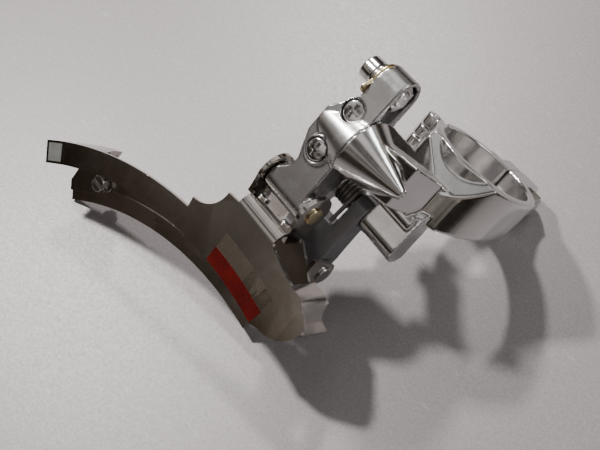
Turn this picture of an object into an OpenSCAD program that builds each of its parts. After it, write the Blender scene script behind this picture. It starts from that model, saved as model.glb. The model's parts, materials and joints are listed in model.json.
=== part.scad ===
// Front derailleur for a road bicycle with three chainrings: a clamp body, a down-swing
// parallelogram and a two-plate chain cage, at its inner (small ring) stop.
// +Z runs up the seat tube, +X points to the front wheel and +Y to the rider's left.
// The origin is the centre of the seat tube clamp. Outlines written [y, z] lie across the
// pivots, and outlines written [x, z] lie in the plane of the chainrings.

/* [Clamp] */
// Diameter of the seat tube
tube_d = 31.8; // [28.6:0.1:38.2]
// Height of the clamp along the tube
band_h = 12.7; // [10.5:0.1:16]
// Wall of the hinged band
band_wall = 2.4; // [1.8:0.1:3]
// Wall of the body's ring
ring_wall = 2.8; // [2.2:0.1:3.6]
// Thread of the clamp bolt
bolt_d = 5; // [4:0.5:6]
// Distance from the tube's surface to the clamp bolt's axis
bolt_out = 10.7; // [9:0.1:14]

/* [Linkage] */
// Distance from the tube's surface to the upper outer pivot
pivot_out = 18.1; // [16:0.1:24]
// Drop from the clamp's centre to the upper outer pivot
pivot_drop = 8.5; // [6:0.1:12]
// Length of both links between their pivots
link_len = 22.7; // [19:0.1:28]
// Lean of the links away from the tube at the inner stop
link_lean = 7.6; // [0:0.1:12]
// Width of the outer link along its pivots
link_w = 13.7; // [11.4:0.1:18]
// Diameter of the two upper pivot pins
body_pin_d = 4.4; // [3.6:0.1:5.3]
// Diameter of the two cage pivot pins
cage_pin_d = 4; // [3:0.1:4.6]
// Wall of the pivot bushes
bush_wall = 1; // [0.6:0.1:1.2]
// Thread of the limit screws
limit_d = 4; // [3:0.5:4]

/* [Cage] */
// Radius of the outer plate's lower edge, over the large chainring
arc_r = 116.4; // [97:0.1:140]
// Height of the outer plate's tail
tail_h = 7.6; // [6:0.1:10]
// How far the inner plate hangs below the outer plate
inner_drop = 12; // [9:0.1:15]
// Angle from the top of the curve to the tail's end
tail_a = 39.2; // [34:0.1:44]
// Distance across the cage, outside to inside
cage_w = 13; // [11:0.1:17]
// Thickness of the cage's sheet steel
sheet = 1.2; // [1:0.1:1.4]

/* [Hidden] */
$fn = 48;

// Clearances: gap between bodies, running fit and the open pivot's looser fit
gap = 0.3;
run = 0.03;
open_run = 0.09;
over = 1;

// Clamp
tube_r = tube_d / 2;
half_h = band_h / 2;
hinge_a = 188;
hinge_out = 4.6;
hinge_p = [(tube_r + hinge_out) * cos(hinge_a), (tube_r + hinge_out) * sin(hinge_a)];
hinge_r = 3;
hinge_pin_r = 1.2;
knuckle_h = band_h / 3;
split_x = 1.4;
lug_t = 7;
band_lug_t = 5.2;
lug_in = -2;
inset = 0.25;
lug_r = half_h - inset;
bolt_y = tube_r + bolt_out;
bolt_r = bolt_d / 2;
head_r = bolt_d * 0.85;
head_h = bolt_d;
washer_t = 1;
nut_t = 3.4;
bolt_head_x = split_x - gap - band_lug_t - washer_t;

// Pivots, as [y, z]
piv_a = [-tube_r - pivot_out, -pivot_drop];
piv_b = piv_a + [14, -16.1];
link_v = link_len * [-sin(link_lean), -cos(link_lean)];
piv_c = piv_a + link_v;
piv_d = piv_b + link_v;
pin_r = body_pin_d / 2;
cpin_r = cage_pin_d / 2;

// Outer link, between its rear and front faces
link_x1 = -18.3;
link_x0 = link_x1 - link_w;
elbow_r0 = 6.5;
elbow_r1 = 10.2;
arm_v = [1.7, 17.8];
arm_p = piv_a + arm_v;
arm_r = 6.2;
arm_t = 8.3;
arm_x0 = link_x1 - arm_t;
waist = 3.2;
fork_t = 3.6;
low_r = cpin_r + bush_wall + 1.6;
link_mid_x = (link_x0 + link_x1) / 2;
pocket_r = 5.2;
cable_r = 2.5;
cable_hole_r = cable_r + 0.1;
recess_r = 4.9;
recess_d = 3.4;

// Body of the linkage
hub_r = pin_r + 2;
hub_x0 = link_x0 + fork_t + gap;
hub_x1 = link_x1 - fork_t + 1.2 - gap;
beam_p = piv_a + [13, -7.7];
beam_r = 3.5;
cone_x0 = link_x1 + gap;
cone_len = 18;
cone_r0 = elbow_r1 + 0.3;
cone_r1 = 1.6;
cone_x1 = cone_x0 + cone_len;
lip_z = piv_a[1] - 6.8;
panel_p = [-tube_r - 3, piv_a[1] + 0.5];
panel_x0 = -12.6;
saddle_rise = 0.3;
web_r = 7.6;
leg_x0 = -8.2;
leg_x1 = 5.5;
leg_r = pin_r + 2.7;
rear_lug_x0 = -31.6;
rear_lug_x1 = -28.3;

// Inner link
inner_x0 = rear_lug_x1 + gap;
inner_x1 = leg_x0 - gap;
inner_r = 4.1;
spring_gap = 8.4;
spring_x0 = (inner_x0 + inner_x1 - spring_gap) / 2;
spring_x1 = spring_x0 + spring_gap;
knuckle_z = piv_b[1] - 9;

// Cage
plate_y = piv_c[0] - 9;
inner_y = plate_y + cage_w;
arc_p = [-25, piv_c[1] - arc_r - 31.1];
top_r = arc_r + tail_h;
inner_r0 = arc_r - inner_drop;
fold_r = 4;
flange_z = piv_c[1] - low_r - 2.3;
ear_t = 1.3;
ear_r = 6.5;
rear_ear_x = link_x0 - gap - 0.7 - ear_t;
front_ear_x = link_x1 + gap + 1.7;
cage_edge_x0 = rear_ear_x;
cage_edge_x1 = front_ear_x + ear_t;
inner_ear_x0 = inner_x0 - gap - ear_t;
inner_ear_x1 = inner_x1 + gap;
inner_ear_r = 4.4;
rivet_r = 1.2;
rivet_head_r = 2;
rivet_head_h = 0.8;
screw_a = 31.8;
screw_r = arc_r - 4.6;
screw_p = arc_p + screw_r * [-sin(screw_a), cos(screw_a)];
cage_thread_r = 1.5;
tail_flange_a = 27.4;
tail_front_x = curve_pt(top_r, tail_flange_a)[0] - 2;
tail_back_x = curve_pt(top_r, tail_a)[0];
bridge_p = [0.6, flange_z - 12.9];
sticker_t = 0.1;

// Helpers. An outline in along_x is [y, z], and one in along_y is [x, z].
module along_x(x0, x1) {
    translate([x0, 0, 0]) rotate([90, 0, 90]) linear_extrude(x1 - x0) children();
}
module along_y(y0, y1) {
    translate([0, y1, 0]) rotate([90, 0, 0]) linear_extrude(y1 - y0) children();
}
module rod_x(x0, x1, p, r) {
    translate([x0, p[0], p[1]]) rotate([0, 90, 0]) cylinder(r = r, h = x1 - x0);
}
module rod_y(y0, y1, p, r) {
    translate([p[0], y0, p[1]]) rotate([-90, 0, 0]) cylinder(r = r, h = y1 - y0);
}
module tube_x(x0, x1, p, r, bore) {
    difference() {
        rod_x(x0, x1, p, r);
        rod_x(x0 - over, x1 + over, p, bore);
    }
}
// A round-ended bar between two circles that may differ in size
module bar(p, rp, q, rq) {
    d = norm(q - p);
    turn = atan2(q[1] - p[1], q[0] - p[0]);
    side = acos((rp - rq) / d);
    up = [cos(turn + side), sin(turn + side)];
    down = [cos(turn - side), sin(turn - side)];
    translate(p) circle(rp);
    translate(q) circle(rq);
    polygon([p + rp * up, p + rp * down, q + rq * down, q + rq * up]);
}
// A stretch of the cage's curve: angles run from the top of the curve towards the tail
module curve(r0, r1, a0, a1) {
    far = r1 * 1.3;
    intersection() {
        difference() {
            translate(arc_p) circle(r1, $fn = 240);
            translate(arc_p) circle(r0, $fn = 240);
        }
        translate(arc_p) polygon([[0, 0], far * [-sin(a0), cos(a0)], far * [-sin(a1), cos(a1)]]);
    }
}
function curve_pt(r, a) = arc_p + r * [-sin(a), cos(a)];
// Angle that a length along the plate's lower edge spans
function arc_deg(length) = length / arc_r * 180 / PI;
// A bent strip of sheet through points, thickened to its right-hand side
function strip_side(a, b) = [b[1] - a[1], a[0] - b[0]] / norm(b - a);
function strip_off(p, i) =
    i == 0 ? strip_side(p[0], p[1]) :
    i == len(p) - 1 ? strip_side(p[i - 1], p[i]) :
    let (s = strip_side(p[i - 1], p[i]) + strip_side(p[i], p[i + 1])) 2 * s / (s * s);
module strip(p, t) {
    back = [for (i = [len(p) - 1:-1:0]) p[i] + t * strip_off(p, i)];
    polygon(concat(p, back));
}
// Places a limit screw's own +Z along its length, from its head inwards
module limit_place(high) {
    head = high ? [-5.2, 7.7] : [-8.5, -6.7];
    tip_down = high ? 9.8 : 0;
    translate([link_mid_x, piv_a[0] + head[0], piv_a[1] + head[1]])
        rotate([-90 - tip_down, 0, 0]) children();
}
limit_head_r = limit_d / 2 + 1.25;
limit_head_h = 2.2;
limit_bore_r = limit_d / 2 + run;
// Both screws end just clear of the hub's sloping side
limit_reach = 2.1 * (hub_r + limit_d / 2);
limit_len_low = 21.32 - limit_reach;
limit_len_high = 20.12 - limit_reach;

// Clamp body: ring, label panel, pivot cone, hub, beam and legs
module ring_arc(r, z0, z1, a0, a1) {
    translate([0, 0, z0]) rotate([0, 0, a0]) rotate_extrude(angle = a1 - a0, $fn = 120)
        translate([tube_r - over, 0]) square([r + over, z1 - z0]);
}
module label_panel() {
    panel_r = tube_r + 4.7;
    panel_low = 14;
    intersection() {
        translate([-2, -2, -panel_low])
            cylinder(r = panel_r, h = panel_low + half_h - inset, $fn = 120);
        // Top shoulder falls away from the tube, lower edge rises to the front
        translate([0, -tube_r, half_h]) rotate([60, 0, 0])
            translate([-60, -80, -80]) cube([120, 160, 80]);
        translate([19, 0, -half_h]) rotate([0, 0, 54]) rotate([0, -18, 0])
            translate([-60, -60, 0]) cube([60, 120, 60]);
        rotate([0, 0, -172]) translate([0, -60, -20]) mirror([0, 1, 0])
            translate([-60, -120, 0]) cube([120, 60, 40]);
        // Stays in front of the swinging link and of the saddle's rear edge
        translate([panel_x0, -60, -60]) cube(120);
    }
}
module clamp_body() {
    color("silver") difference() {
        union() {
            ring_arc(ring_wall, -half_h, half_h, -168, 80);
            label_panel();
            // Pivot cone and the web that joins it to the panel
            translate([cone_x0, piv_a[0], piv_a[1]]) rotate([0, 90, 0])
                cylinder(r1 = cone_r0, r2 = cone_r1, h = cone_len, $fn = 96);
            intersection() {
                along_x(cone_x0, leg_x1 + 3) bar(piv_a, web_r, panel_p, 5.6);
                translate([0, 0, -30]) linear_extrude(40) polygon([
                    [cone_x0 - over, piv_a[0] - 5], [cone_x0 + 8, piv_a[0] - 2],
                    [cone_x1 - 3, piv_a[0] + 3], [2.5, panel_p[0] - 3],
                    [leg_x1 + 3, panel_p[0] - 1], [leg_x1 + 3, panel_p[0] + 2.6],
                    [cone_x0 - over, panel_p[0] + 2.6]]);
            }
            // Saddle: its top falls with the cone and rises towards the ring
            intersection() {
                translate([0, 0, piv_a[1]]) linear_extrude(14.4) polygon([
                    [cone_x0 + inset, piv_a[0] - 1], [cone_x0 + 8, piv_a[0] - 1],
                    [cone_x1 - 4, piv_a[0] + 2.4], [1.6, panel_p[0] - 3.6],
                    [2, panel_p[0] + 2.4], [panel_x0 + inset, panel_p[0] + 2.4],
                    [panel_x0 + inset, panel_p[0] + 0.5], [-9.8, piv_a[0] + 9],
                    [cone_x0 + inset, piv_a[0] + 2.5]]);
                translate([cone_x0, piv_a[0], piv_a[1] + cone_r0 - inset])
                    multmatrix([[1, 0, 0, 0], [0, 1, 0, 0],
                                [(cone_r1 - cone_r0) / cone_len, saddle_rise, 1, 0]])
                    translate([-60, -60, -60]) cube([120, 120, 60]);
            }
            // Hub inside the outer link, carried by the beam
            along_x(hub_x0, hub_x1) bar(piv_a, hub_r, beam_p, beam_r - 0.4);
            along_x(rear_lug_x0, 4) bar(beam_p, beam_r, beam_p + [3.5, 2.5], beam_r + 0.5);
            // Front leg and rear lug hold the inner link's pin
            along_x(leg_x0, leg_x1) bar(piv_b, leg_r, piv_b + [1.6, 10.5], leg_r - 0.4);
            along_x(rear_lug_x0, rear_lug_x1) bar(piv_b, leg_r - 0.5, beam_p + [3, 0], beam_r);
            // Bolt lug
            along_x(split_x + gap, split_x + gap + lug_t) union() {
                translate([bolt_y, 0]) circle(lug_r);
                translate([tube_r + lug_in, -lug_r]) square([bolt_out - lug_in, 2 * lug_r]);
            }
            // Hinge barrel, split into two knuckles by the room below
            translate([hinge_p[0], hinge_p[1], inset - half_h])
                cylinder(r = hinge_r, h = band_h - 2 * inset);
            rotate([0, 0, hinge_a]) translate([tube_r + 0.4, -0.4, inset - half_h])
                cube([hinge_out, 3.4, band_h - 2 * inset]);
        }
        // Seat tube, with the lower skirt relieved clear of it
        translate([0, 0, -40]) cylinder(r = tube_r, h = 80, $fn = 120);
        translate([0, 0, -40.3 - half_h]) cylinder(r = tube_r + 0.8, h = 40, $fn = 120);
        // The cone is open below its lip
        translate([cone_x0 - over, piv_a[0] - 14, lip_z - 20]) cube([40, 14 + 8.2, 20]);
        // Room behind the cone's face for the link's front wall
        translate([link_x1 - fork_t + 1.2, piv_a[0] - 12, piv_a[1] - 13])
            cube([fork_t - 1.2 + gap, 12 + 6.4, 26]);
        // Pin bores, clamp bolt hole and hinge hole
        rod_x(rear_lug_x0 - 9, cone_x1 - 4, piv_a, pin_r);
        rod_x(rear_lug_x0 - 9, leg_x1 - 3, piv_b, pin_r);
        rod_x(split_x - over, split_x + lug_t + 3, [bolt_y, 0], bolt_r + 0.1);
        translate([hinge_p[0], hinge_p[1], -half_h - over])
            cylinder(r = hinge_pin_r, h = band_h + 2 * over);
        // Room for the band's knuckle and for the band itself beside the hinge
        translate([hinge_p[0], hinge_p[1], -half_h + knuckle_h])
            cylinder(r = hinge_r + gap, h = knuckle_h);
        translate([-tube_r - 12, -0.6, -half_h - over]) cube([11.7, 20, band_h + 2 * over]);
    }
}

// Hinged band: closes the clamp on the left side of the tube
module clamp_band() {
    color("silver") difference() {
        union() {
            ring_arc(band_wall, -half_h + 0.3, half_h - 0.3, 88, 176);
            translate([hinge_p[0], hinge_p[1], -half_h + knuckle_h + gap])
                cylinder(r = hinge_r, h = knuckle_h - 2 * gap);
            translate([hinge_p[0] - 0.6, hinge_p[1], -half_h + knuckle_h + gap])
                cube([3.6, 5, knuckle_h - 2 * gap]);
            along_x(split_x - gap - band_lug_t, split_x - gap) union() {
                translate([bolt_y, 0]) circle(lug_r - 0.3);
                translate([tube_r + 0.4, 0.3 - lug_r]) square([bolt_out - 0.4, 2 * lug_r - 0.6]);
            }
        }
        translate([0, 0, -40]) cylinder(r = tube_r, h = 80, $fn = 120);
        translate([hinge_p[0], hinge_p[1], -half_h - over])
            cylinder(r = hinge_pin_r + run, h = band_h + 2 * over);
        // Slotted hole lets the band swing on the loosened bolt
        along_x(split_x - gap - band_lug_t - over, split_x) union() {
            translate([bolt_y, 0]) circle(bolt_r + 0.4);
            translate([bolt_y - 3.6, 0]) circle(bolt_r + 0.4);
            translate([bolt_y - 3.6, -bolt_r - 0.4]) square([3.6, bolt_d + 0.8]);
        }
    }
}

module band_hinge_pin() {
    color("gainsboro") translate([hinge_p[0], hinge_p[1], -half_h])
        cylinder(r = hinge_pin_r, h = band_h);
}

module clamp_bolt() {
    color("gainsboro") difference() {
        union() {
            rod_x(bolt_head_x - head_h, bolt_head_x, [bolt_y, 0], head_r);
            rod_x(bolt_head_x - 0.01, split_x + gap + lug_t + nut_t + 0.6, [bolt_y, 0], bolt_r);
        }
        translate([bolt_head_x - head_h - over, bolt_y, 0]) rotate([0, 90, 0])
            cylinder(r = bolt_d * 0.46, h = head_h * 0.6 + over, $fn = 6);
    }
}

module clamp_washer() {
    color("silver") tube_x(bolt_head_x, bolt_head_x + washer_t, [bolt_y, 0], head_r + 0.9, bolt_r);
}

module clamp_nut() {
    x0 = split_x + gap + lug_t;
    color("silver") difference() {
        translate([x0, bolt_y, 0]) rotate([0, 90, 0])
            cylinder(r = bolt_d * 0.92, h = nut_t, $fn = 6);
        rod_x(x0 - over, x0 + nut_t + over, [bolt_y, 0], bolt_r + run);
    }
}

// Pins pressed into the body carry the two links
module outer_pivot_pin() {
    color("gainsboro") rod_x(link_x0 - 1.6, cone_x1 - 4, piv_a, pin_r);
}
module inner_pivot_pin() {
    color("gainsboro") rod_x(rear_lug_x0 - 1.3, leg_x1 - 3, piv_b, pin_r);
}
module pin_clip(x, p, r) {
    tube_x(x, x + 0.7, p, r + 1.6, r);
}
module body_pin_clips() {
    color("dimgray") {
        pin_clip(link_x0 - gap - 0.7, piv_a, pin_r);
        pin_clip(rear_lug_x0 - 0.7, piv_b, pin_r);
    }
}

// Torsion spring around the inner link's upper pin, wound by a sweep of rings
spring_wire = 0.7;
spring_mean = pin_r + spring_wire + 0.45;
spring_turns = 4.25;
spring_sides = 8;
spring_steps = 18;
function coil_pt(t) = [
    spring_x0 + 1.4 + (spring_gap - 2.8) * t / spring_turns,
    piv_b[0] + spring_mean * cos(360 * t + 60),
    piv_b[1] + spring_mean * sin(360 * t + 60)];
function spring_path() = concat(
    [coil_pt(0) + [0, 3.4, -2]],
    [for (i = [0:spring_turns * spring_steps]) coil_pt(i / spring_steps)],
    [coil_pt(spring_turns) + [0, -2, -10.2]]);
module tube_path(pts, r, sides) {
    n = len(pts);
    function dir(i) = let (d = pts[min(i + 1, n - 1)] - pts[max(i - 1, 0)]) d / norm(d);
    function side(i) = let (s = cross(dir(i), [1, 0, 0])) s / norm(s);
    ring = [for (i = [0:n - 1], j = [0:sides - 1])
        pts[i] + r * (cos(360 * j / sides) * side(i)
                      + sin(360 * j / sides) * cross(dir(i), side(i)))];
    walls = [for (i = [0:n - 2], j = [0:sides - 1])
        [i * sides + j, i * sides + (j + 1) % sides,
         (i + 1) * sides + (j + 1) % sides, (i + 1) * sides + j]];
    ends = [[for (j = [sides - 1:-1:0]) j], [for (j = [0:sides - 1]) (n - 1) * sides + j]];
    polyhedron(ring, concat(walls, ends));
}
module return_spring() {
    color("dimgray") tube_path(spring_path(), spring_wire, spring_sides);
}

// Outer link: a fork around the body's hub, with the cable arm above and the cage below
module outer_link() {
    color("lightgray") difference() {
        union() {
            // The side outline thins the arm and gives the rear edge its waist
            intersection() {
                union() {
                    translate([link_x0, piv_a[0], piv_a[1]]) rotate([0, 90, 0])
                        cylinder(r1 = elbow_r0, r2 = elbow_r1, h = link_w, $fn = 96);
                    along_x(link_x0, link_x1) bar(piv_a, elbow_r0, arm_p, arm_r);
                    along_x(link_x0, link_x1) bar(piv_a, elbow_r0, piv_c, low_r);
                }
                along_y(-60, -10) polygon([
                    [link_x1 + over, 20], [arm_x0, 20], [arm_x0, piv_a[1] + 11.5],
                    [link_x0 - 0.1, piv_a[1] + 3.6], [link_x0 - 0.1, piv_a[1] - 4.6],
                    [link_x0 + waist, piv_a[1] - 12.5], [link_x0 + waist, piv_c[1] + 7],
                    [link_x0 - 0.1, piv_c[1] + 3.4], [link_x0 - 0.1, -60],
                    [link_x1 + over, -60]]);
            }
            rod_x(rear_ear_x + ear_t + gap, front_ear_x - gap, piv_c, low_r);
            for (high = [false, true])
                limit_place(high) translate([0, 0, 0.5]) cylinder(r = limit_head_r + 1, h = 4);
        }
        // Pocket for the hub, open on the side of the tube
        translate([link_x0 + fork_t, piv_a[0] - 1, piv_a[1] - 8.6])
            cube([hub_x1 - hub_x0 + 2 * gap, 30, 17]);
        rod_x(link_x0 + fork_t, link_x0 + fork_t + hub_x1 - hub_x0 + 2 * gap, piv_a, pocket_r);
        rod_x(link_x0 - over, link_x1 + over, piv_a, pin_r + bush_wall);
        rod_x(link_x0 - 9, link_x1 + 9, piv_c, cpin_r + bush_wall);
        // Cable bolt's hole and the recess for its nut
        rod_x(link_x0 - over, link_x1 + over, arm_p, cable_hole_r);
        along_x(link_x1 - recess_d, link_x1 + over)
            bar(arm_p, recess_r, arm_p + [-0.4, -6.5], 3.4);
        // Groove for the cable beside its bolt
        translate([arm_x0, arm_p[0] - cable_r - 0.6, arm_p[1] - 5.5])
            cylinder(r = 0.8, h = 24, $fn = 24);
        for (high = [false, true]) {
            limit_place(high) translate([0, 0, -8])
                cylinder(r = limit_head_r + 0.35, h = 8 + limit_head_h);
            limit_place(high) cylinder(r = limit_bore_r, h = 14);
        }
    }
}
module outer_link_bushes() {
    color("ivory") {
        tube_x(link_x0, link_x0 + fork_t, piv_a, pin_r + bush_wall, pin_r + run);
        tube_x(link_x0 + fork_t + hub_x1 - hub_x0 + 2 * gap, link_x1,
               piv_a, pin_r + bush_wall, pin_r + run);
        tube_x(rear_ear_x + ear_t + gap, rear_ear_x + ear_t + gap + 5,
               piv_c, cpin_r + bush_wall, cpin_r + run);
        tube_x(front_ear_x - gap - 5, front_ear_x - gap,
               piv_c, cpin_r + bush_wall, cpin_r + run);
    }
}

// Cable anchor: bolt from the rear, washer against the arm and a nut in the recess
anchor_washer_t = 1.1;
anchor_head_h = 6;
anchor_x = arm_x0 - anchor_washer_t;
module cable_bolt() {
    color("gainsboro") difference() {
        union() {
            rod_x(anchor_x - anchor_head_h, anchor_x, arm_p, 4.5);
            rod_x(anchor_x - 0.01, link_x1 - 0.6, arm_p, cable_r);
        }
        translate([anchor_x - anchor_head_h - over, arm_p[0], arm_p[1]]) rotate([0, 90, 0])
            cylinder(r = 2.3, h = 3.5 + over, $fn = 6);
    }
}
module cable_washer() {
    color("palegoldenrod") difference() {
        union() {
            rod_x(anchor_x, arm_x0, arm_p, 5.6);
            along_x(anchor_x, arm_x0) bar(arm_p, 3.5, arm_p + [-6.2, -3.2], 1.6);
        }
        rod_x(anchor_x - over, arm_x0 + over, arm_p, cable_r + run);
    }
}
module cable_nut() {
    x0 = link_x1 - recess_d;
    color("silver") difference() {
        translate([x0, arm_p[0], arm_p[1]]) rotate([0, 90, 0]) cylinder(r = 4.5, h = 2.6, $fn = 6);
        rod_x(x0 - over, link_x1, arm_p, cable_r + run);
    }
}

module limit_screw(high, length) {
    color("gainsboro") limit_place(high) difference() {
        union() {
            cylinder(r = limit_head_r, h = limit_head_h);
            cylinder(r = limit_d / 2, h = length);
        }
        for (turn = [0, 90])
            rotate([0, 0, turn]) translate([-limit_head_r * 0.62, -0.45, -over])
                cube([limit_head_r * 1.24, 0.9, 1.3 + over]);
    }
}
module limit_screw_low() { limit_screw(false, limit_len_low); }
module limit_screw_high() { limit_screw(true, limit_len_high); }

// Inner link: two upper knuckles with the spring between them, one long lower barrel
module inner_link() {
    color("gray") difference() {
        union() {
            along_x(inner_x0, inner_x1) bar(piv_b, inner_r, piv_d, inner_r);
        }
        // Slimmer between its pivots, and open around the spring
        translate([inner_x0 - over, piv_b[0] + 1.6, piv_d[1] + inner_r + 1.6])
            cube([inner_x1 - inner_x0 + 2 * over, 6, link_len - 2 * inner_r - 3.2]);
        translate([spring_x0, piv_b[0] - 8, knuckle_z])
            cube([spring_gap, 16, 20]);
        rod_x(inner_x0 - over, inner_x1 + over, piv_b, pin_r + bush_wall);
        rod_x(inner_x0 - over, inner_x1 + over, piv_d, cpin_r + bush_wall);
    }
}
module inner_link_bushes() {
    color("ivory") {
        tube_x(inner_x0, spring_x0, piv_b, pin_r + bush_wall, pin_r + run);
        tube_x(spring_x1, inner_x1, piv_b, pin_r + bush_wall, pin_r + run);
        tube_x(inner_x0, inner_x0 + 5, piv_d, cpin_r + bush_wall, cpin_r + open_run);
        tube_x(inner_x1 - 5, inner_x1, piv_d, cpin_r + bush_wall, cpin_r + open_run);
    }
}

// Outer cage plate: curved blade, folded top flange with two ears, tail flange and bridge
blade_back = [-45, flange_z - 14.5];
corner_p = [-2, flange_z - 14];
corner_r = 10.8;
module blade() {
    difference() {
        union() {
            curve(arc_r, top_r, 8, tail_a);
            polygon([blade_back, [blade_back[0] + 5, flange_z - 5], [-33.4, flange_z - 4.3],
                     [cage_edge_x0 + 2.6, flange_z - fold_r], [cage_edge_x1, flange_z - fold_r],
                     [-14.5, flange_z - 4.7], [-6.5, flange_z - 7.1], [-2.5, flange_z - 7.9],
                     corner_p + [0, -corner_r], corner_p + [-15, -corner_r - 6],
                     curve_pt(arc_r, 9)]);
            intersection() {
                translate(corner_p) circle(corner_r);
                translate(corner_p) polygon([[-12, -12], [12, -12], [12, 0], [6.2, 4.4],
                                             [-0.5, 6.1], [-12, 8]]);
            }
        }
        translate(arc_p) circle(arc_r, $fn = 240);
        translate([-46, flange_z - 4.9]) circle(9.8);
    }
}
module ear(x, reach) {
    along_x(x, x + ear_t) union() {
        translate(piv_c) circle(ear_r);
        polygon([[plate_y + fold_r, flange_z], [plate_y + fold_r + 1.5, flange_z - reach],
                 [inner_y - 1, flange_z - reach], [inner_y + 1, flange_z],
                 piv_c + [ear_r, 0], piv_c - [ear_r, 0]]);
    }
}
bridge_line = [[-3, flange_z - 7.9], [2, flange_z - 8.1], [4.2, flange_z - 9.6],
               [4.8, flange_z - 12.2], [6.4, flange_z - 14.2], [9.6, flange_z - 14.8]];
module outer_cage_plate() {
    tab_y = inner_y - sheet;
    color("dimgray") difference() {
        union() {
            along_y(plate_y, plate_y + sheet) blade();
            // Folded top edge and flange
            intersection() {
                tube_x(cage_edge_x0 + 2.6, cage_edge_x1,
                       [plate_y + fold_r, flange_z - fold_r], fold_r, fold_r - sheet);
                translate([cage_edge_x0, plate_y, flange_z - fold_r])
                    cube([cage_edge_x1 - cage_edge_x0, fold_r, fold_r]);
            }
            translate([cage_edge_x0, plate_y + fold_r, flange_z - sheet])
                cube([cage_edge_x1 - cage_edge_x0, inner_y + 1 - plate_y - fold_r, sheet]);
            ear(rear_ear_x, sheet);
            ear(front_ear_x, 4);
            // Tail flange, slanted at both ends in plan, and the tab it carries
            intersection() {
                along_y(plate_y, inner_y) curve(top_r - sheet, top_r, tail_flange_a, tail_a);
                translate([0, 0, -140]) linear_extrude(100) polygon([
                    [tail_front_x, plate_y - over], [tail_front_x + 3, plate_y + sheet],
                    [tail_front_x - 1, inner_y - 5], [tail_front_x - 1, inner_y + over],
                    [tail_back_x + 9, inner_y + over], [tail_back_x - 1, plate_y - over]]);
            }
            intersection() {
                along_y(tab_y, inner_y) curve(screw_r - 4, top_r, tail_flange_a, tail_a);
                translate([tail_back_x + 8, tab_y - over, -140])
                    cube([tail_front_x - tail_back_x - 9, sheet + 2 * over, 100]);
            }
            // Front bridge and its tab on the inner plate
            along_y(plate_y, inner_y) strip(bridge_line, sheet);
            along_y(tab_y, inner_y) polygon(concat(bridge_line,
                [[4, flange_z - 18], [-2, flange_z - 17]]));
        }
        rod_x(rear_ear_x - over, front_ear_x + ear_t + over, piv_c, cpin_r);
        for (x = flange_rivets)
            translate([x, rivet_y, flange_z - 3]) cylinder(r = rivet_r, h = 6);
        rod_y(tab_y - over, inner_y + over, bridge_p, rivet_r);
        rod_y(tab_y - over, inner_y + over, screw_p, cage_thread_r);
    }
}

// Inner cage plate: deeper blade with a joggled lower lip, a rib and two hinge ears
flange_rivets = [rear_ear_x + ear_t + 3.5, front_ear_x - 2.2];
rivet_y = plate_y + 6.5;
lip_h = 3.2;
joggle = 0.8;
module inner_blade() {
    difference() {
        union() {
            curve(inner_r0 + lip_h, arc_r + 2, -2, 33);
            polygon([curve_pt(arc_r + 2, 33), curve_pt(arc_r - 3, 36.4), curve_pt(arc_r - 7.4, 39.1),
                     curve_pt(inner_r0 + lip_h, 39.6), curve_pt(inner_r0 + lip_h, 33)]);
            polygon([curve_pt(arc_r + 2, 12), [-36, flange_z - 6],
                     [flange_rivets[0] - 2, flange_z - 2 * sheet],
                     [flange_rivets[1] + 1.5, flange_z - 2 * sheet], [-14, flange_z - 3], [-5, flange_z - 9.4],
                     [4, flange_z - 9.4], [5, flange_z - 15], [-1, flange_z - 25],
                     curve_pt(inner_r0 + lip_h, -7)]);
        }
        translate(arc_p) circle(inner_r0 + lip_h, $fn = 240);
    }
}
module inner_cage_plate() {
    color("dimgray") difference() {
        union() {
            along_y(inner_y, inner_y + sheet) inner_blade();
            // Lower lip, stepped towards the tube
            along_y(inner_y + joggle, inner_y + joggle + sheet)
                curve(inner_r0, inner_r0 + lip_h + sheet, -7.5, 39.8);
            // Stiffening rib towards the chain
            along_y(inner_y - 0.7, inner_y + 0.2) curve(arc_r - 7.6, arc_r - 6.2, 12, 28.5);
            // Tab folded under the outer plate's flange
            translate([flange_rivets[0] - 2, rivet_y - 2.3, flange_z - 2 * sheet])
                cube([flange_rivets[1] - flange_rivets[0] + 3.5, inner_y + sheet - rivet_y + 2.3, sheet]);
            // Hinge ears
            for (x = [inner_ear_x0, inner_ear_x1])
                along_x(x, x + ear_t) union() {
                    translate(piv_d) circle(inner_ear_r);
                    polygon([piv_d + [0, inner_ear_r], piv_d - [0, inner_ear_r],
                             [inner_y, piv_d[1] - 7.5], [inner_y, piv_d[1] + 5.5]]);
                }
        }
        rod_x(inner_ear_x0 - over, inner_ear_x1 + ear_t + over, piv_d, cpin_r);
        for (x = flange_rivets)
            translate([x, rivet_y, flange_z - 4]) cylinder(r = rivet_r, h = 6);
        rod_y(inner_y - over, inner_y + sheet + over, bridge_p, rivet_r);
        rod_y(inner_y - over, inner_y + 3, screw_p, cage_thread_r);
    }
}
module cage_rivets() {
    color("silver") {
        for (x = flange_rivets)
            translate([x, rivet_y, flange_z - 2 * sheet]) {
                cylinder(r = rivet_r, h = 2 * sheet);
                translate([0, 0, 2 * sheet]) cylinder(r = rivet_head_r, h = rivet_head_h);
                translate([0, 0, -rivet_head_h]) cylinder(r = rivet_head_r, h = rivet_head_h);
            }
        rod_y(inner_y - sheet, inner_y + sheet, bridge_p, rivet_r);
        rod_y(inner_y - sheet - rivet_head_h, inner_y - sheet, bridge_p, rivet_head_r);
        rod_y(inner_y + sheet, inner_y + sheet + rivet_head_h, bridge_p, rivet_head_r);
    }
}
module headed_pin(x0, x1, p) {
    rod_x(x0, x1, p, cpin_r);
    rod_x(x1, x1 + 0.8, p, cpin_r + 0.8);
}
module outer_cage_pin() {
    color("goldenrod") headed_pin(rear_ear_x - 1.2, front_ear_x + ear_t, piv_c);
}
module inner_cage_pin() {
    color("gainsboro") headed_pin(inner_ear_x0 - 1.2, inner_ear_x1 + ear_t, piv_d);
}
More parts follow.
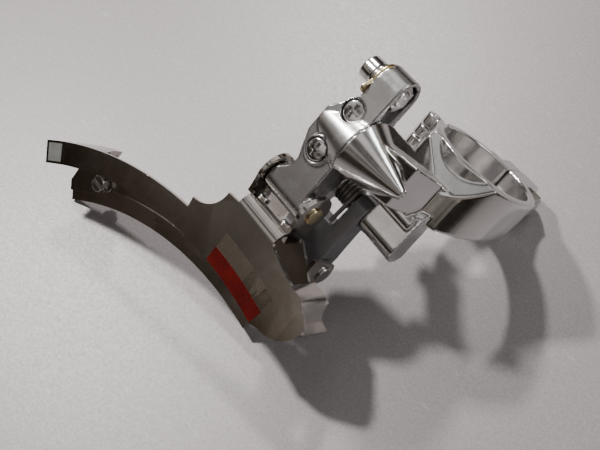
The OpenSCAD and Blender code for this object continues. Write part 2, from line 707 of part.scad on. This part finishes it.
module cage_pin_clips() {
    color("dimgray") {
        pin_clip(rear_ear_x - 0.7, piv_c, cpin_r);
        pin_clip(inner_ear_x0 - 0.7, piv_d, cpin_r);
    }
}
module cage_screw() {
    color("silver") difference() {
        union() {
            rod_y(inner_y - sheet - 1.8, inner_y - sheet, screw_p, 2.7);
            rod_y(inner_y - sheet - 0.01, inner_y + sheet + 3, screw_p, cage_thread_r);
        }
        translate([screw_p[0] - 3, inner_y - sheet - 1.8 - over, screw_p[1] - 0.4])
            cube([6, 0.8 + over, 0.8]);
    }
}
module cage_nut() {
    color("silver") difference() {
        translate([screw_p[0], inner_y + sheet, screw_p[1]]) rotate([-90, 0, 0])
            cylinder(r = 3.1, h = 2.2, $fn = 6);
        rod_y(inner_y, inner_y + 6, screw_p, cage_thread_r);
    }
}
module alignment_sticker() {
    color("firebrick") along_y(plate_y - sticker_t, plate_y)
        curve(arc_r + 0.2, arc_r + 5.4, -arc_deg(19.91), arc_deg(3.45));
}
module sticker_film() {
    color("wheat") along_y(plate_y - sticker_t, plate_y)
        curve(arc_r + 5.4, arc_r + 10.9, -arc_deg(19.5), arc_deg(3.25));
}
module tail_label() {
    color("darkgray") along_y(plate_y - sticker_t, plate_y)
        curve(arc_r + 0.8, top_r - 0.8, tail_a - 3.4, tail_a - 0.5);
}

clamp_body();
clamp_band();
band_hinge_pin();
clamp_bolt();
clamp_washer();
clamp_nut();
outer_pivot_pin();
inner_pivot_pin();
body_pin_clips();
return_spring();
outer_link();
outer_link_bushes();
cable_bolt();
cable_washer();
cable_nut();
limit_screw_low();
limit_screw_high();
inner_link();
inner_link_bushes();
outer_cage_plate();
inner_cage_plate();
cage_rivets();
outer_cage_pin();
inner_cage_pin();
cage_pin_clips();
cage_screw();
cage_nut();
alignment_sticker();
sticker_film();
tail_label();
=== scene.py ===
import json
import math

import bmesh
import bpy
from mathutils import Matrix, Vector

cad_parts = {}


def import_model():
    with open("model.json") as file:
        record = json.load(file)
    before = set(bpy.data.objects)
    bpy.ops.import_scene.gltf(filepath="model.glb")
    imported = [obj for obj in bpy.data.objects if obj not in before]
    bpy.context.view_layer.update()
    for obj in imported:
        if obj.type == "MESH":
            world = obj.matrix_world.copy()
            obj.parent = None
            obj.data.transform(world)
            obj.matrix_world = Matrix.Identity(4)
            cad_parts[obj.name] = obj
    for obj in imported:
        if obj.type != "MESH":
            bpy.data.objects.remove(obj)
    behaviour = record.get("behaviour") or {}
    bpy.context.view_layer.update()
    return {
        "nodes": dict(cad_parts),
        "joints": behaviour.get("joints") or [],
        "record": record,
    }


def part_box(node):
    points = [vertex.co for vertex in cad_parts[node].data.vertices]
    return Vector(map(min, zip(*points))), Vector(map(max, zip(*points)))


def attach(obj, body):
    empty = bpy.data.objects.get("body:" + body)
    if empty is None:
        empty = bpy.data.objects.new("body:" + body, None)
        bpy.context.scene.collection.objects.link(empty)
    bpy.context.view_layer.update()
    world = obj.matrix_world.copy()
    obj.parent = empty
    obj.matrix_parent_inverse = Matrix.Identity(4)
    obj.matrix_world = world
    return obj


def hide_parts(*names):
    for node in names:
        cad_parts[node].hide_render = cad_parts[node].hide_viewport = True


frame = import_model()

MM = 0.001
NODES = frame["nodes"]

# The object lies on its left side: this is the table's plane, touched by the clamp's lug
# and by both ends of the inner cage plate.
UP = Vector((-0.142, -0.750, 0.646)).normalized()
TABLE_D = -0.02724
CENTRE = Vector((-0.045, -0.012, -0.040))
CAM_AT = Vector((0.0867167, -0.2597505, 0.0661624))
CAM_RIGHT = Vector((0.593183, 0.546077, 0.591552))
CAM_DOWN = Vector((0.705328, 0.001739, -0.708879))
CAM_FORWARD = Vector((-0.388131, 0.837733, -0.384132))


# ---------------------------------------------------------------- camera
def make_camera():
    data = bpy.data.cameras.new("camera")
    data.sensor_width = 36.0
    data.lens = 36.0 * 932.8 / 600.0
    data.clip_start = 0.01
    data.clip_end = 20.0
    cam = bpy.data.objects.new("camera", data)
    m = Matrix((CAM_RIGHT, -CAM_DOWN, -CAM_FORWARD)).transposed().to_4x4()
    m.translation = CAM_AT
    cam.matrix_world = m
    bpy.context.scene.collection.objects.link(cam)
    bpy.context.scene.camera = cam


make_camera()
FLAT_RIGHT = (CAM_RIGHT - CAM_RIGHT.dot(UP) * UP).normalized()
FLAT_FAR = UP.cross(FLAT_RIGHT).normalized()


# ---------------------------------------------------------------- node helpers
class Shader:
    def __init__(self, name):
        self.mat = bpy.data.materials.new(name)
        self.mat.use_nodes = True
        self.tree = self.mat.node_tree
        self.bsdf = self.tree.nodes["Principled BSDF"]
        self.coords = self.tree.nodes.new("ShaderNodeTexCoord").outputs["Object"]

    def link(self, a, b):
        self.tree.links.new(a, b)

    def put(self, socket, value):
        if isinstance(value, bpy.types.NodeSocket):
            self.link(value, socket)
        else:
            socket.default_value = value

    def mapped(self, scale, rotation=(0, 0, 0)):
        n = self.tree.nodes.new("ShaderNodeMapping")
        n.inputs["Scale"].default_value = scale
        n.inputs["Rotation"].default_value = rotation
        self.link(self.coords, n.inputs["Vector"])
        return n.outputs["Vector"]

    def noise(self, scale, detail=3.0, rough=0.5, vector=None, distort=0.0):
        n = self.tree.nodes.new("ShaderNodeTexNoise")
        n.inputs["Scale"].default_value = scale
        n.inputs["Detail"].default_value = detail
        n.inputs["Roughness"].default_value = rough
        n.inputs["Distortion"].default_value = distort
        self.link(vector or self.coords, n.inputs["Vector"])
        return n.outputs["Fac"]

    def math(self, op, a, b=0.0, clamp=False):
        n = self.tree.nodes.new("ShaderNodeMath")
        n.operation = op
        n.use_clamp = clamp
        self.put(n.inputs[0], a)
        self.put(n.inputs[1], b)
        return n.outputs[0]

    def ramp(self, fac, stops):
        n = self.tree.nodes.new("ShaderNodeValToRGB")
        e = n.color_ramp.elements
        while len(e) < len(stops):
            e.new(0.5)
        for i, (at, c) in enumerate(stops):
            e[i].position = at
            e[i].color = (*c, 1.0) if isinstance(c, tuple) else (c, c, c, 1.0)
        self.link(fac, n.inputs["Fac"])
        return n.outputs["Color"]

    def mix(self, fac, a, b):
        n = self.tree.nodes.new("ShaderNodeMix")
        n.data_type = "RGBA"
        self.put(n.inputs["Factor"], fac)
        self.put(n.inputs[6], a)
        self.put(n.inputs[7], b)
        return n.outputs[2]

    def bump(self, height, strength, distance, normal=None):
        n = self.tree.nodes.new("ShaderNodeBump")
        n.inputs["Strength"].default_value = strength
        n.inputs["Distance"].default_value = distance
        self.link(height, n.inputs["Height"])
        if normal:
            self.link(normal, n.inputs["Normal"])
        return n.outputs["Normal"]

    def set(self, **values):
        for key, value in values.items():
            self.put(self.bsdf.inputs[key.replace("_", " ")], value)
        return self.mat


# near-black colour for the painted shade in hollows
HOLLOW_SHADE = (0.035, 0.030, 0.026, 1)


def metal(name, color, tint, rough, spread, grain, grain_scale, grain_bump, lump_bump,
          tint_scale=90.0, edge=0.25, turn=(0, 0, 0)):
    """Bare or plated metal: cloudy tint, directional grain, smudges, worn edges, painted shade
    darkening its hollows.
    """
    s = Shader(name)
    cloud = s.noise(tint_scale, 5.0, 0.6, distort=0.4)
    base = s.mix(s.ramp(cloud, [(0.38, 0.0), (0.68, 1.0)]), (*color, 1), (*tint, 1))
    smudge = s.noise(260.0, 4.0, 0.65, distort=0.8)
    strands = s.noise(grain_scale, 3.0, 0.6, s.mapped(grain, turn))
    point = s.tree.nodes.new("ShaderNodeNewGeometry").outputs["Pointiness"]
    worn = s.ramp(point, [(0.52, 0.0), (0.60, 1.0)])
    # painted shade: hollows, found by low pointiness, are darkened towards near black
    hollow_shade = s.ramp(point, [(0.40, 0.85), (0.485, 0.0)])
    light = tuple(min(1.0, c * 1.25 + 0.05) for c in color)
    base = s.mix(s.math("MULTIPLY", worn, edge), base, (*light, 1))
    base = s.mix(hollow_shade, base, HOLLOW_SHADE)
    r = s.math("MULTIPLY", s.math("SUBTRACT", smudge, 0.5), spread * 2.0)
    r = s.math("ADD", r, s.math("MULTIPLY", s.math("SUBTRACT", strands, 0.5), spread * 1.5))
    r = s.math("ADD", r, rough, clamp=True)
    lumps = s.noise(420.0, 2.0, 0.5)
    normal = s.bump(lumps, 1.0, lump_bump * MM)
    normal = s.bump(strands, 1.0, grain_bump * MM, normal)
    return s.set(Base_Color=base, Metallic=1.0, Roughness=r, Normal=normal)


def plastic(name, color, tint, rough, speckle, bump):
    s = Shader(name)
    cloud = s.noise(speckle, 4.0, 0.6)
    base = s.mix(s.ramp(cloud, [(0.35, 0.0), (0.7, 1.0)]), (*color, 1), (*tint, 1))
    fine = s.noise(speckle * 9.0, 2.0, 0.5)
    r = s.math("ADD", s.math("MULTIPLY", s.math("SUBTRACT", fine, 0.5), 0.16), rough, clamp=True)
    return s.set(Base_Color=base, Roughness=r, Normal=s.bump(fine, 1.0, bump * MM))


ALLOY = metal("polished_alloy", (0.83, 0.82, 0.81), (0.74, 0.73, 0.72), 0.17, 0.07,
              (1, 1, 5), 900.0, 0.0012, 0.010)
LINK = metal("satin_alloy", (0.62, 0.61, 0.61), (0.52, 0.51, 0.51), 0.25, 0.07,
             (5, 1, 1), 900.0, 0.0012, 0.006)
# painted shade: a darker copy of the link alloy, standing in for the inner link's face turned away
# from the lamps
SHADED_ALLOY = metal("dark_alloy", (0.30, 0.30, 0.31), (0.20, 0.20, 0.21), 0.42, 0.10,
             (1, 1, 1), 1800.0, 0.0120, 0.020)
CAGE = metal("chromed_sheet", (0.60, 0.57, 0.54), (0.44, 0.39, 0.33), 0.13, 0.06,
             (1, 1, 9), 1500.0, 0.0010, 0.006, tint_scale=55.0, edge=0.5)
SCREW = metal("bright_screw", (0.80, 0.79, 0.78), (0.62, 0.61, 0.60), 0.15, 0.07,
              (1, 1, 1), 2600.0, 0.0020, 0.004)
PIN = metal("pin_steel", (0.60, 0.59, 0.58), (0.46, 0.45, 0.44), 0.24, 0.08,
            (12, 1, 1), 900.0, 0.0020, 0.003)
ZINC = metal("yellow_zinc", (0.80, 0.66, 0.34), (0.66, 0.60, 0.44), 0.22, 0.08,
             (1, 1, 1), 2200.0, 0.0020, 0.004, tint_scale=400.0)
WASHER = metal("washer_steel", (0.68, 0.67, 0.64), (0.54, 0.53, 0.50), 0.26, 0.08,
               (1, 8, 1), 1400.0, 0.0025, 0.003)
SPRING = metal("spring_steel", (0.22, 0.21, 0.20), (0.12, 0.11, 0.10), 0.36, 0.10,
               (1, 1, 1), 3000.0, 0.0030, 0.003)
BUSH = plastic("bush_plastic", (0.72, 0.68, 0.58), (0.62, 0.57, 0.46), 0.45, 700.0, 0.004)
RED = plastic("red_sticker", (0.105, 0.005, 0.004), (0.06, 0.003, 0.003), 0.26, 160.0, 0.002)
LABEL = plastic("grey_label", (0.20, 0.20, 0.19), (0.15, 0.15, 0.14), 0.40, 300.0, 0.003)


def film():
    s = Shader("clear_film")
    cloud = s.noise(60.0, 2.0, 0.5)
    base = s.mix(s.ramp(cloud, [(0.3, 0.0), (0.7, 1.0)]),
                 (0.30, 0.25, 0.20, 1), (0.22, 0.18, 0.14, 1))
    alpha = s.math("ADD", s.math("MULTIPLY", cloud, 0.10), 0.06)
    r = s.math("ADD", s.math("MULTIPLY", s.noise(900.0), 0.2), 0.18)
    return s.set(Base_Color=base, Alpha=alpha, Roughness=r, Normal=s.bump(cloud, 1.0, 0.00002))


FILM = film()


# ---------------------------------------------------------------- mesh helpers
def new_piece(name, mesh, mat, body, slot, *stands_for):
    obj = bpy.data.objects.new(name, mesh)
    bpy.context.scene.collection.objects.link(obj)
    mesh.materials.clear()
    mesh.materials.append(mat)
    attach(obj, body)
    if stands_for:
        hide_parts(*stands_for)
    return obj


def inside(mesh, low, high):
    for v in mesh.vertices:
        v.co = [min(max(c, a), b) for c, a, b in zip(v.co, low, high)]


def welded(node):
    bm = bmesh.new()
    bm.from_mesh(NODES[node].data)
    bmesh.ops.remove_doubles(bm, verts=bm.verts, dist=2e-6)
    return bm


def body_of(node):
    return next(b for b, ns in frame["record"]["behaviour"]["bodies"].items() if node in ns)


def slot_of(node):
    return next(s["material_slot"] for s in frame["record"]["subparts"] if s["node"] == node)


def cast(node, mat, voxel, rounds):
    """A cast or forged part: the CAD solid with all its edges rounded over."""
    bm = welded(node)
    mesh = bpy.data.meshes.new(node + "_cast")
    bm.to_mesh(mesh)
    bm.free()
    tmp = bpy.data.objects.new("tmp", mesh)
    bpy.context.scene.collection.objects.link(tmp)
    remesh = tmp.modifiers.new("remesh", "REMESH")
    remesh.mode = "VOXEL"
    remesh.voxel_size = voxel * MM
    smooth = tmp.modifiers.new("smooth", "SMOOTH")
    smooth.factor = 0.5
    smooth.iterations = rounds
    graph = bpy.context.evaluated_depsgraph_get()
    out = bpy.data.meshes.new_from_object(tmp.evaluated_get(graph))
    bpy.data.objects.remove(tmp)
    out.name = node + "_cast"
    inside(out, *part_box(node))
    for p in out.polygons:
        p.use_smooth = True
    return new_piece(node + "_cast", out, mat, body_of(node), slot_of(node), node)


def eased(node, mat, width, segments=2):
    """A pressed or turned part: the CAD solid with its sharp edges broken."""
    bm = welded(node)
    bmesh.ops.dissolve_limit(bm, angle_limit=0.01, verts=bm.verts, edges=bm.edges)
    sharp = [e for e in bm.edges if len(e.link_faces) == 2 and e.calc_face_angle(0.0) > 0.6]
    bmesh.ops.bevel(bm, geom=sharp, offset=width * MM, offset_type="OFFSET", segments=segments,
                    profile=0.5, affect="EDGES", clamp_overlap=True)
    bmesh.ops.triangulate(bm, faces=[f for f in bm.faces if len(f.verts) > 4])
    mesh = bpy.data.meshes.new(node + "_eased")
    bm.to_mesh(mesh)
    bm.free()
    inside(mesh, *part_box(node))
    for p in mesh.polygons:
        p.use_smooth = True
    mesh.set_sharp_from_angle(angle=0.6)
    obj = new_piece(node + "_eased", mesh, mat, body_of(node), slot_of(node), node)
    weighted = obj.modifiers.new("normals", "WEIGHTED_NORMAL")
    weighted.keep_sharp = True
    return obj


def recess_cross(x, y, arm, half_width):
    """1 inside a cross recess with flared corners, 0 outside."""
    ax, ay = abs(x), abs(y)
    bar = min(half_width - min(ax, ay), arm - max(ax, ay)) / (0.16 * MM)
    core = (half_width * 1.75 - math.hypot(x, y)) / (0.3 * MM)
    return min(1.0, max(0.0, max(bar, core)))


def recess_hex(x, y, across):
    far = max(abs(x * math.cos(a) + y * math.sin(a)) for a in (0.0, math.pi / 3, 2 * math.pi / 3))
    return min(1.0, max(0.0, (across - far) / (0.14 * MM)))


def turned(name, profile, face_r, face_z, recess, depth, place, mat, node, thread=None):
    """A screw or bolt turned about its own +Z, which runs from its head inwards.

    profile lists (radius, height) from the rim of the face to the tip; face_z gives the
    domed face's height at a radius, and recess carves it by up to depth. thread is
    (start, end, pitch, cut) along the shank."""
    around = 96
    bm = bmesh.new()
    rings = []
    steps = 30
    for i in range(1, steps + 1):
        r = face_r * i / steps
        ring = []
        for j in range(around):
            a = 2 * math.pi * j / around
            x, y = r * math.cos(a), r * math.sin(a)
            z = face_z(r) + depth * recess(x, y)
            ring.append(bm.verts.new((x, y, z)))
        rings.append(ring)
    path = list(profile)
    if thread:
        start, end, pitch, cut = thread
        r = path[-1][0]
        n = int((end - start) / pitch)
        for k in range(n):
            z = start + k * pitch
            path += [(r, z + 0.10 * pitch), (r - cut, z + 0.5 * pitch), (r, z + 0.90 * pitch)]
        path.append((r - 0.3 * MM, end + 0.3 * MM))
    for r, z in path:
        rings.append([bm.verts.new((r * math.cos(2 * math.pi * j / around),
                                    r * math.sin(2 * math.pi * j / around), z))
                      for j in range(around)])
    centre = bm.verts.new((0, 0, face_z(0.0) + depth * recess(0.0, 0.0)))
    for j in range(around):
        bm.faces.new((centre, rings[0][(j + 1) % around], rings[0][j]))
    for a, b in zip(rings, rings[1:]):
        for j in range(around):
            k = (j + 1) % around
            bm.faces.new((a[j], a[k], b[k], b[j]))
    tip = bm.verts.new((0, 0, path[-1][1]))
    for j in range(around):
        bm.faces.new((tip, rings[-1][j], rings[-1][(j + 1) % around]))
    bmesh.ops.recalc_face_normals(bm, faces=bm.faces)
    mesh = bpy.data.meshes.new(name)
    bm.to_mesh(mesh)
    bm.free()
    mesh.transform(place)
    for p in mesh.polygons:
        p.use_smooth = True
    mesh.set_sharp_from_angle(angle=0.75)
    return new_piece(name, mesh, mat, body_of(node), slot_of(node), node)


def along(at, direction):
    """Places a turned piece: its face at a point, its +Z along a direction."""
    turn = Vector((0, 0, 1)).rotation_difference(Vector(direction)).to_matrix().to_4x4()
    return Matrix.Translation(Vector(at)) @ turn


# ---------------------------------------------------------------- pieces
cast("clamp_body", ALLOY, 0.32, 9)
cast("clamp_band", ALLOY, 0.26, 4)
cast("outer_link", LINK, 0.28, 8)
# the inner link takes the darker alloy: painted shade
cast("inner_link", SHADED_ALLOY, 0.30, 6)
for name, mat, width in [
        ("outer_cage_plate", CAGE, 0.2), ("inner_cage_plate", CAGE, 0.2),
        ("clamp_bolt", SCREW, 0.22), ("clamp_nut", SCREW, 0.18),
        ("cable_nut", SCREW, 0.18), ("cage_nut", SCREW, 0.15), ("cage_screw", SCREW, 0.12),
        ("clamp_washer", WASHER, 0.12), ("cable_washer", ZINC, 0.15),
        ("cage_rivets", SCREW, 0.2), ("outer_cage_pin", ZINC, 0.2),
        ("inner_cage_pin", PIN, 0.2), ("outer_pivot_pin", PIN, 0.25),
        ("inner_pivot_pin", PIN, 0.25), ("band_hinge_pin", PIN, 0.15),
        ("body_pin_clips", SPRING, 0.08), ("cage_pin_clips", SPRING, 0.08)]:
    eased(name, mat, width)

JOINTS = {j["name"]: j for j in frame["joints"]}
LIMIT_HEAD_R = 3.25
# Each limit screw with the joint it turns on and its length in millimetres
LIMIT_SCREWS = [("limit_screw_low", "limit_low_turn", 8.3),
                ("limit_screw_high", "limit_high_turn", 7.1)]
for name, joint, length in LIMIT_SCREWS:
    head = LIMIT_HEAD_R * MM
    turned(name + "_turned",
           [(head, 0.55 * MM), (head, 2.0 * MM), (head - 0.2 * MM, 2.2 * MM), (2.0 * MM, 2.2 * MM)],
           head - 0.3 * MM, lambda r: 0.02 * MM + 0.35 * MM * (r / head) ** 2,
           lambda x, y: recess_cross(x, y, 2.15 * MM, 0.46 * MM), 1.35 * MM,
           along(JOINTS[joint]["pos_m"], JOINTS[joint]["axis"]), SCREW, name,
           (2.3 * MM, (length - 0.4) * MM, 0.7 * MM, 0.25 * MM))
low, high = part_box("cable_bolt")
axis_y, axis_z = (low[1] + high[1]) / 2, (low[2] + high[2]) / 2
turned("cable_bolt_turned",
       [(3.75 * MM, 0.25 * MM), (3.9 * MM, 0.6 * MM), (4.0 * MM, 3.6 * MM), (4.15 * MM, 4.2 * MM),
        (4.45 * MM, 4.7 * MM), (4.5 * MM, 5.2 * MM), (4.5 * MM, 5.85 * MM), (4.35 * MM, 6.0 * MM),
        (2.5 * MM, 6.0 * MM)],
       3.5 * MM, lambda r: 0.01 * MM + 0.12 * MM * (r / (3.5 * MM)) ** 6,
       lambda x, y: recess_hex(x, y, 2.0 * MM), 3.2 * MM,
       along((low[0], axis_y, axis_z), (1, 0, 0)), SCREW, "cable_bolt",
       (6.2 * MM, (high[0] - low[0]) - 0.4 * MM, 0.8 * MM, 0.28 * MM))

for name, mat in [("return_spring", SPRING), ("outer_link_bushes", BUSH),
                  ("inner_link_bushes", BUSH), ("alignment_sticker", RED),
                  ("sticker_film", FILM), ("tail_label", LABEL)]:
    for s in NODES[name].material_slots:
        s.material = mat


# ---------------------------------------------------------------- table, light, world
def table():
    mesh = bpy.data.meshes.new("table")
    at = UP * TABLE_D
    c = at + (CENTRE - UP * CENTRE.dot(UP))
    half = 3.0
    corners = [c + FLAT_RIGHT * (half * i) + FLAT_FAR * (half * j) for i, j in
               [(-1, -1), (1, -1), (1, 1), (-1, 1)]]
    mesh.from_pydata([tuple(p) for p in corners], [], [(0, 1, 2, 3)])
    obj = bpy.data.objects.new("table", mesh)
    bpy.context.scene.collection.objects.link(obj)
    s = Shader("table")
    cloud = s.noise(9.0, 5.0, 0.6)
    fine = s.noise(900.0, 3.0, 0.7)
    base = s.mix(cloud, (0.27, 0.25, 0.255, 1), (0.22, 0.205, 0.21, 1))
    grain = s.ramp(s.noise(1500.0, 2.0, 0.7), [(0.35, 0.0), (0.65, 1.0)])
    base = s.mix(s.math("MULTIPLY", grain, 0.5), base, (0.36, 0.335, 0.34, 1))
    marks = s.noise(60.0, 2.0, 0.4, s.mapped((1, 14, 14), (0.5, 0.3, 0.8)))
    marks = s.ramp(marks, [(0.70, 0.0), (0.78, 1.0)])
    base = s.mix(s.math("MULTIPLY", marks, 0.25), base, (0.52, 0.49, 0.50, 1))
    s.set(Base_Color=base, Metallic=0.25,
          Roughness=s.math("ADD", s.math("MULTIPLY", fine, 0.2), 0.38),
          Normal=s.bump(fine, 0.5, 0.00004))
    clear = s.tree.nodes.new("ShaderNodeBsdfTransparent")
    both = s.tree.nodes.new("ShaderNodeMixShader")
    out = s.tree.nodes["Material Output"]
    back = s.tree.nodes.new("ShaderNodeNewGeometry").outputs["Backfacing"]
    s.link(back, both.inputs[0])
    s.link(s.bsdf.outputs[0], both.inputs[1])
    s.link(clear.outputs[0], both.inputs[2])
    s.link(both.outputs[0], out.inputs["Surface"])
    mesh.materials.append(s.mat)


def lamp(name, right, far, up, size, power, color, long=None):
    data = bpy.data.lights.new(name, "AREA")
    data.shape = "RECTANGLE"
    data.size = size
    data.size_y = long or size
    data.energy = power
    data.color = color
    obj = bpy.data.objects.new(name, data)
    at = CENTRE + FLAT_RIGHT * right + FLAT_FAR * far + UP * up
    obj.matrix_world = (CENTRE - at).to_track_quat("-Z", "Y").to_matrix().to_4x4()
    obj.matrix_world.translation = at
    bpy.context.scene.collection.objects.link(obj)


def world():
    """A dim room: brightness runs from table to ceiling, broken up by soft light and dark areas."""
    w = bpy.data.worlds.new("studio")
    bpy.context.scene.world = w
    w.use_nodes = True
    t = w.node_tree
    co = t.nodes.new("ShaderNodeTexCoord")
    dot = t.nodes.new("ShaderNodeVectorMath")
    dot.operation = "DOT_PRODUCT"
    dot.inputs[1].default_value = UP
    t.links.new(co.outputs["Generated"], dot.inputs[0])
    half = t.nodes.new("ShaderNodeMapRange")
    half.inputs["From Min"].default_value = -1.0
    t.links.new(dot.outputs["Value"], half.inputs["Value"])
    ramp = t.nodes.new("ShaderNodeValToRGB")
    e = ramp.color_ramp.elements
    stops = [(0.0, (0.40, 0.38, 0.38)), (0.49, (0.28, 0.26, 0.26)), (0.52, (0.02, 0.017, 0.014)),
             (0.63, (0.045, 0.033, 0.024)), (0.67, (0.06, 0.045, 0.034)), (0.70, (0.42, 0.39, 0.36)),
             (0.76, (0.10, 0.09, 0.085)), (0.86, (0.62, 0.60, 0.59)), (1.0, (0.50, 0.50, 0.52))]
    while len(e) < len(stops):
        e.new(0.5)
    for i, (at, c) in enumerate(stops):
        e[i].position = at
        e[i].color = (*c, 1)
    t.links.new(half.outputs[0], ramp.inputs["Fac"])
    areas = t.nodes.new("ShaderNodeTexNoise")
    areas.inputs["Scale"].default_value = 3.4
    areas.inputs["Detail"].default_value = 1.5
    areas.inputs["Roughness"].default_value = 0.5
    t.links.new(co.outputs["Generated"], areas.inputs["Vector"])
    patch = t.nodes.new("ShaderNodeValToRGB")
    p = patch.color_ramp.elements
    p[0].position, p[0].color = 0.40, (0.12, 0.11, 0.10, 1)
    p[1].position, p[1].color = 0.60, (1.7, 1.65, 1.6, 1)
    t.links.new(areas.outputs["Fac"], patch.inputs["Fac"])
    room = t.nodes.new("ShaderNodeMix")
    room.data_type = "RGBA"
    room.blend_type = "MULTIPLY"
    room.inputs["Factor"].default_value = 1.0
    t.links.new(ramp.outputs["Color"], room.inputs[6])
    t.links.new(patch.outputs["Color"], room.inputs[7])
    bg = t.nodes["Background"]
    bg.inputs["Strength"].default_value = 0.7
    # The camera sees a plain backdrop; only reflections see the room
    seen = t.nodes.new("ShaderNodeMix")
    seen.data_type = "RGBA"
    seen.inputs[7].default_value = (0.42, 0.41, 0.41, 1)
    path = t.nodes.new("ShaderNodeLightPath")
    t.links.new(path.outputs["Is Camera Ray"], seen.inputs["Factor"])
    t.links.new(room.outputs[2], seen.inputs[6])
    t.links.new(seen.outputs[2], bg.inputs["Color"])


table()
world()
lamp("key", -0.34, 0.34, 0.62, 0.06, 7.5, (1.0, 0.98, 0.95))
lamp("second", 0.02, 0.55, 0.55, 0.06, 4.2, (1.0, 0.97, 0.94))
lamp("strip", 0.45, -0.10, 0.35, 0.05, 0.9, (0.96, 0.98, 1.0), 0.4)
